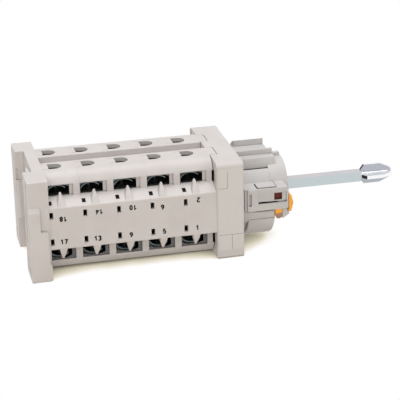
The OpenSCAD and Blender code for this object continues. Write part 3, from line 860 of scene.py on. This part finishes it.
    def end_gap(self) -> bpy.types.Object:
        """Puts dark strips in the deep gap between the last stage and the front plate, beside its wire
        windows:
        painted shade.

        Returns:
            The dark strips as one piece.
        """
        meshes = []
        start, step, end = self.gap_x
        for side in Side:
            wall = sorted(side.value * y for y in self.gap_wall_y)
            deep = sorted(side.value * y for y in self.gap_deep_y)
            for low, high in self.gap_z:
                meshes.append(box_mesh("gap", (start, wall[0], low), (step, wall[1], high)))
                meshes.append(box_mesh("gap", (step, deep[0], low), (end, deep[1], high)))
        piece = joined("stack_end_gap_painted_shade", meshes, self.dresser.palette.get(Finish.RECESSED_POLYAMIDE))
        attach(piece, "stack")
        LOG.info("darkened the gap at the end of the stack")
        return piece

    def clamp_rims(self) -> bpy.types.Object:
        """Bends the thin steel rim of each clamp cage, an arch that shows behind the wire windows.

        Returns:
            The rims as one piece.
        """
        meshes = []
        start, end = self.rim_deg
        for stage in range(STAGES):
            centre = (self.stack_x + stage * self.pitch + self.rim_x, self.rim_z)
            rim = arc(centre, self.rim_outer, start, end, 14) + arc(centre, self.rim_inner, end, start, 14)
            for side in Side:
                near, far = sorted(side.value * y for y in self.rim_y)
                for up in (1, -1):
                    outline = [(px, up * pz) for px, pz in rim]
                    if up > 0:
                        outline.reverse()
                    meshes.append(prism_mesh("rim", outline, near, far))
        piece = joined("clamp_rims", meshes, self.dresser.palette.get(Finish.CLAMP_STEEL))
        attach(piece, "stack")
        LOG.info("bent the rims of the clamp cages")
        return piece


@dataclass
class FrontPlate:
    """The block in front of the stages, with a bare label and the thin lines that divide it."""

    dresser: SolidDresser
    face_y: float = -36.0
    label_x: Flat = (105.0, 119.3)
    label_z: Flat = (-24.3, 26.7)
    film_mm: float = 0.1
    line_mm: float = 0.22
    sunk_mm: float = 0.02
    corner_mm: float = 0.05
    foot_line_z: float = -14.6
    head_line_z: float = 14.3
    head_line_mm: float = 5.6
    upper_column: float = 5.5
    lower_column: float = 7.9
    upper_end_z: float = 24.6
    lower_end_z: float = -24.0

    def dress(self) -> None:
        """Paints the block."""
        self.dresser.dress("front_plate", Finish.GREY_POLYAMIDE, 0.4)

    def label(self) -> bpy.types.Object:
        """Sticks the bare label on the near face.

        Returns:
            The label.
        """
        low = (self.label_x[0], self.face_y - self.film_mm, self.label_z[0])
        high = (self.label_x[1], self.face_y + self.sunk_mm, self.label_z[1])
        film = box_mesh("film", low, high)
        piece = joined("marking_label", [film], self.dresser.palette.get(Finish.LABEL_FILM))
        corners = piece.modifiers.new("rounded_corners", "BEVEL")
        corners.width = mm(self.corner_mm)
        corners.segments = 2
        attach(piece, "stack")
        LOG.info("stuck the label on")
        return piece

    def rules(self) -> bpy.types.Object:
        """Prints the thin lines that divide the label.

        Returns:
            The lines as one piece.
        """
        left, right = self.label_x
        half = self.line_mm / 2
        upper = left + self.upper_column
        lower = left + self.lower_column
        spans = [
            (left, right, self.foot_line_z - half, self.foot_line_z + half),
            (left, left + self.head_line_mm, self.head_line_z - half, self.head_line_z + half),
            (upper - half, upper + half, self.head_line_z, self.upper_end_z),
            (lower - half, lower + half, self.lower_end_z, self.foot_line_z),
        ]
        outer = self.face_y - self.film_mm - self.sunk_mm
        inner = outer + 2 * self.sunk_mm
        meshes = [box_mesh("line", (x0, outer, z0), (x1, inner, z1)) for x0, x1, z0, z1 in spans]
        piece = joined("label_lines", meshes, self.dresser.palette.get(Finish.GREY_INK))
        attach(piece, "stack")
        LOG.info("printed the lines of the label")
        return piece


@dataclass
class LatchDrum:
    """The terraced drum, its front ring, the latch and the detent behind them."""

    dresser: SolidDresser
    # Dark strips of painted shade in the drum's gaps
    groove: tuple[Point, Point] = ((120.2, -10.75, 13.85), (141.5, -8.8, 14.45))
    tab_right: tuple[Point, Point] = ((142.42, -23.9, 7.7), (142.98, -13.1, 8.16))
    tab_front: tuple[Point, Point] = ((130.65, -26.55, 7.3), (142.5, -26.03, 8.13))
    tab_left: tuple[Point, Point] = ((130.65, -26.1, 7.3), (131.17, -18.1, 8.13))
    box_foot: tuple[Point, Point] = ((130.0, -27.6, -5.6), (140.3, -24.5, -5.15))
    panel_wedge: tuple[Flat, ...] = ((131.05, -0.98), (143.0, -0.98), (143.0, -0.62), (131.05, 0.4))
    panel_y: Flat = (-27.2, -27.0)
    web_outline: tuple[Flat, ...] = (
        (146.15, -12.0),
        (146.9, -12.0),
        (150.4, -9.6),
        (150.4, -8.1),
        (149.3, -7.6),
        (149.3, -5.1),
        (146.15, -5.1),
    )
    web_y: Flat = (-26.1, -21.2)
    web_edge_mm: float = 0.25
    # Block behind the latch window, painted shade
    pane: tuple[Point, Point] = ((140.85, -26.9, 0.55), (145.55, -26.55, 4.85))
    # Face on the latch's lower end, painted shade
    finger_centre: Flat = (143.9, -9.9)
    finger_radius: float = 1.95
    finger_top: tuple[Flat, Flat] = ((145.85, -8.4), (141.95, -8.9))
    finger_y: Flat = (-26.42, -26.28)

    def dress(self) -> None:
        """Paints the drum and everything it holds."""
        self.dresser.dress("latch_housing", Finish.ASH_POLYAMIDE, 0.25)
        self.dresser.dress("front_ring", Finish.ASH_POLYAMIDE, 0.4)
        self.dresser.dress("release_latch", Finish.ORANGE_ACETAL, 0.3)
        self.dresser.dress("latch_spring", Finish.SPRING_WIRE, 0)
        self.dresser.dress("detent_wheel", Finish.WHITE_ACETAL, 0.15)
        self.dresser.dress("detent_rollers", Finish.SPRING_WIRE, 0.1)
        self.dresser.dress("detent_springs", Finish.SPRING_WIRE, 0)
        self.dresser.dress("circlip", Finish.BLACKENED_STEEL, 0.1)

    def gusset(self) -> bpy.types.Object:
        """Moulds the small web under the near side box, to the right of the latch.

        Returns:
            The web.
        """
        mesh = prism_mesh("web", self.web_outline, *self.web_y)
        piece = joined("box_gusset", [mesh], self.dresser.palette.get(Finish.ASH_POLYAMIDE))
        edges = piece.modifiers.new("moulded_edge", "BEVEL")
        edges.width = mm(self.web_edge_mm)
        edges.segments = 2
        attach(piece, "stack")
        LOG.info("moulded the web beside the latch")
        return piece

    def dark_gaps(self) -> bpy.types.Object:
        """Puts dark strips in the deep gaps as painted shade: the drum's groove, round the snap tab, under
        the panel and under the box.

        Returns:
            The dark strips as one piece.
        """
        boxes = (self.groove, self.tab_right, self.tab_front, self.tab_left, self.box_foot)
        meshes = [box_mesh("gap", low, high) for low, high in boxes]
        meshes.append(prism_mesh("wedge", self.panel_wedge, *self.panel_y))
        piece = joined("drum_gap_painted_shade", meshes, self.dresser.palette.get(Finish.RECESSED_POLYAMIDE))
        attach(piece, "stack")
        LOG.info("darkened the drum's gaps")
        return piece

    def window_pane(self) -> bpy.types.Object:
        """Sets a dark red block behind the small window of the near side box, painted shade for the latch
        seen in shadow there.

        Returns:
            The pane.
        """
        mesh = box_mesh("pane", *self.pane)
        piece = joined("latch_window_painted_shade", [mesh], self.dresser.palette.get(Finish.SMOKED_ACETAL))
        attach(piece, "stack")
        LOG.info("set the pane of the latch window")
        return piece

    def finger_end(self) -> bpy.types.Object:
        """Lays a brown face on the lower end of the latch: painted shade, for that end lies in shadow.

        Returns:
            The face.
        """
        radii = (self.finger_radius, self.finger_radius)
        outline = [*arc(self.finger_centre, radii, 180, 360, 14), *self.finger_top]
        mesh = prism_mesh("face", outline, *self.finger_y)
        piece = joined("latch_end_painted_shade", [mesh], self.dresser.palette.get(Finish.HANDLED_ACETAL))
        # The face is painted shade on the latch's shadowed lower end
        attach(piece, "latch")
        LOG.info("laid the shadowed face on the latch")
        return piece


@dataclass
class Drive:
    """The square shaft and the coupling tip on its end."""

    dresser: SolidDresser

    def dress(self) -> None:
        """Paints the shaft and the tip."""
        self.dresser.dress("shaft", Finish.ZINC_PLATED_BAR, 0.3)
        self.dresser.dress("coupling_tip", Finish.NICKEL_PLATED_CASTING, 0.35)


@dataclass(frozen=True)
class Softbox:
    """A round area lamp, with its place and width in metres and its power in watts."""

    name: str
    place: Point
    size: float
    watts: float

    def hang(self, aim: Point) -> bpy.types.Object:
        """Hangs the lamp so that it faces a point.

        Args:
            aim: The point, in metres.

        Returns:
            The lamp.
        """
        data = bpy.data.lights.new(self.name, "AREA")
        data.shape = "DISK"
        data.size = self.size
        data.energy = self.watts
        lamp = bpy.data.objects.new(self.name, data)
        bpy.context.scene.collection.objects.link(lamp)
        lamp.location = self.place
        lamp.rotation_euler = (Vector(aim) - Vector(self.place)).to_track_quat("-Z", "Y").to_euler()
        return lamp


@dataclass
class Studio:
    """A plain pale floor, soft lights and the camera at the photograph's angle."""

    focal_px: float = 1620.0
    frame_px: float = 400.0
    azimuth: float = 12.704
    elevation: float = 21.372
    roll: float = -1.2086
    eye_mm: Point = (-97.08, -883.73, 348.92)
    floor_z: float = -30.9
    floor_rise: float = 0.0123
    shadow_mm: float = 20.0
    floor_half: float = 6.0
    shade: tuple[tuple[float, str], ...] = (
        (0.02, "#3a342d"),
        (0.09, "#7f776a"),
        (0.26, "#cfc7b1"),
        (0.4, "#f3ece0"),
        (0.48, "#ffffff"),
    )
    softboxes: tuple[Softbox, ...] = (
        Softbox("overhead_softbox", (0.0, 0.1, 1.5), 1.3, 15.6),
        Softbox("front_softbox", (-0.35, -1.45, 0.75), 1.0, 7.5),
    )
    aim: Point = (0.1, 0.0, 0.0)

    def camera(self) -> bpy.types.Object:
        """Places the camera.

        Returns:
            The camera.
        """
        data = bpy.data.cameras.new("camera")
        data.sensor_width = 36.0
        data.lens = data.sensor_width * self.focal_px / self.frame_px
        data.clip_start = 0.05
        data.clip_end = 50.0
        camera = bpy.data.objects.new("camera", data)
        bpy.context.scene.collection.objects.link(camera)
        turn, tilt, roll = (math.radians(v) for v in (self.azimuth, self.elevation, self.roll))
        ahead = Vector((math.sin(turn) * math.cos(tilt), math.cos(turn) * math.cos(tilt), -math.sin(tilt)))
        right = Vector((math.cos(turn), -math.sin(turn), 0.0))
        up = right.cross(ahead)
        rolled_right = right * math.cos(roll) + up * math.sin(roll)
        rolled_up = up * math.cos(roll) - right * math.sin(roll)
        camera.matrix_world = Matrix((rolled_right, rolled_up, -ahead)).transposed().to_4x4()
        camera.location = [mm(v) for v in self.eye_mm]
        bpy.context.scene.camera = camera
        return camera

    def seen(self, tree: Tree) -> Socket:
        """Tells rays that show the background, also mirrored or refracted, from rays that give light.

        Args:
            tree: The node tree of the floor or the world.

        Returns:
            A socket that is 1 for camera, glossy and transmission rays.
        """
        path = add(tree, "ShaderNodeLightPath")
        direct = add(
            tree,
            "ShaderNodeMath",
            {},
            {0: path.outputs["Is Camera Ray"], 1: path.outputs["Is Glossy Ray"]},
            operation="ADD",
            use_clamp=True,
        )
        every = add(
            tree,
            "ShaderNodeMath",
            {},
            {0: direct.outputs[0], 1: path.outputs["Is Transmission Ray"]},
            operation="ADD",
            use_clamp=True,
        )
        return every.outputs[0]

    def floor(self) -> bpy.types.Object:
        """Lays the floor under the object's two feet, white to the camera with a soft warm shade.

        The shade that the camera sees comes from how near the object is, within shadow_mm, and not from the
        lamps. Its stops go from the darkest to plain white.

        Returns:
            The floor.
        """
        half = self.floor_half
        mesh = bpy.data.meshes.new("floor")
        corners = [(-half, -half, 0), (half, -half, 0), (half, half, 0), (-half, half, 0)]
        mesh.from_pydata(corners, [], [(0, 1, 2, 3)])
        floor = bpy.data.objects.new("floor", mesh)
        bpy.context.scene.collection.objects.link(floor)
        floor.location = (0.0, 0.0, mm(self.floor_z))
        floor.rotation_euler = (0.0, -self.floor_rise, 0.0)
        material, tree, surface = blank_material("white_paper_sweep")
        paper = add(tree, "ShaderNodeBsdfDiffuse", {"Color": linear("#efe8dc")})
        near = add(tree, "ShaderNodeAmbientOcclusion", {"Distance": mm(self.shadow_mm)}, samples=16)
        tone = add(tree, "ShaderNodeValToRGB", {}, {"Fac": near.outputs["AO"]})
        (dark_at, dark), *between, (white_at, plain) = self.shade
        tone.color_ramp.elements[0].position = dark_at
        tone.color_ramp.elements[0].color = linear(dark)
        tone.color_ramp.elements[1].position = white_at
        tone.color_ramp.elements[1].color = linear(plain)
        for position, colour in between:
            tone.color_ramp.elements.new(position).color = linear(colour)
        shown = add(tree, "ShaderNodeEmission", {"Strength": 1.0}, {"Color": tone.outputs[0]})
        white = add(tree, "ShaderNodeEmission", {"Color": (1, 1, 1, 1), "Strength": 1.0})
        path = add(tree, "ShaderNodeLightPath")
        mirrored = add(
            tree, "ShaderNodeMixShader", {}, {0: self.seen(tree), 1: paper.outputs[0], 2: white.outputs[0]}
        )
        mixed = add(
            tree,
            "ShaderNodeMixShader",
            {},
            {0: path.outputs["Is Camera Ray"], 1: mirrored.outputs[0], 2: shown.outputs[0]},
        )
        tree.links.new(mixed.outputs[0], surface)
        mesh.materials.append(material)
        return floor

    def world(self) -> None:
        """Surrounds the scene with even soft light, and a white background for the camera and reflections."""
        world = bpy.data.worlds.new("studio_world")
        bpy.context.scene.world = world
        world.use_nodes = True
        tree = world.node_tree
        tree.nodes.clear()
        light = add(tree, "ShaderNodeBackground", {"Color": linear("#f4f3f4"), "Strength": 0.5})
        white = add(tree, "ShaderNodeBackground", {"Color": (1, 1, 1, 1), "Strength": 1.0})
        mixed = add(
            tree, "ShaderNodeMixShader", {}, {0: self.seen(tree), 1: light.outputs[0], 2: white.outputs[0]}
        )
        add(tree, "ShaderNodeOutputWorld", {}, {"Surface": mixed.outputs[0]})

    def light(self) -> None:
        """Hangs a large softbox overhead and a weaker one in front."""
        for softbox in self.softboxes:
            softbox.hang(self.aim)


def main() -> None:
    """Builds the scene."""
    logging.basicConfig(level=logging.INFO, format="%(name)s: %(message)s")
    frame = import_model()
    bpy.context.scene.view_settings.view_transform = "Standard"
    studio = Studio()
    studio.camera()
    studio.floor()
    studio.world()
    studio.light()
    dresser = SolidDresser(frame["nodes"], Palette())
    RearBase(dresser).dress()
    stack = ContactStack(dresser)
    stack.dress()
    for side in Side:
        stack.numbers(side)
    stack.lugs()
    stack.insert_frames()
    stack.end_gap()
    stack.clamp_rims()
    plate = FrontPlate(dresser)
    plate.dress()
    plate.label()
    plate.rules()
    drum = LatchDrum(dresser)
    drum.dress()
    drum.gusset()
    drum.dark_gaps()
    drum.window_pane()
    drum.finger_end()
    Drive(dresser).dress()


if __name__ == "__main__":
    main()
